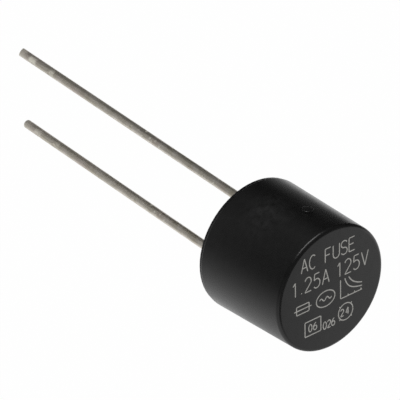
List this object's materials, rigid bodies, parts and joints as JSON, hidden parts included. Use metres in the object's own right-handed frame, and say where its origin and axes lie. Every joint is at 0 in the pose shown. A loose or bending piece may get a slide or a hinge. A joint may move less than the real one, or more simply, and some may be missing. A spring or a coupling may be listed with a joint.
{
  "type": "radial lead fuse",
  "caption": "Round moulded subminiature fuse with two long parallel wire leads for through-hole mounting.",
  "frame": {"origin": "middle of the seating plane, which is the underside of the base, halfway between the two leads", "axes": "+Z from the base to the marked end face, +X from the left lead to the right lead"},
  "size_m": [0.0085, 0.0084, 0.0302],
  "materials": {
    "cap_plastic": "satin moulded black thermoplastic",
    "base_plastic": "satin moulded black thermoplastic",
    "lead_tin": "drawn copper wire, matte tin plated",
    "core_fibre": "glass fibre rod",
    "fuse_wire": "tinned fuse wire",
    "solder": "bright solder"
  },
  "bodies": {
    "root": {"cap": "cap_plastic", "base": "base_plastic", "lead_left": "lead_tin", "lead_right": "lead_tin", "element_core": "core_fibre", "element_wire": "fuse_wire", "solder_left": "solder", "solder_right": "solder"}
  },
  "joints": []
}
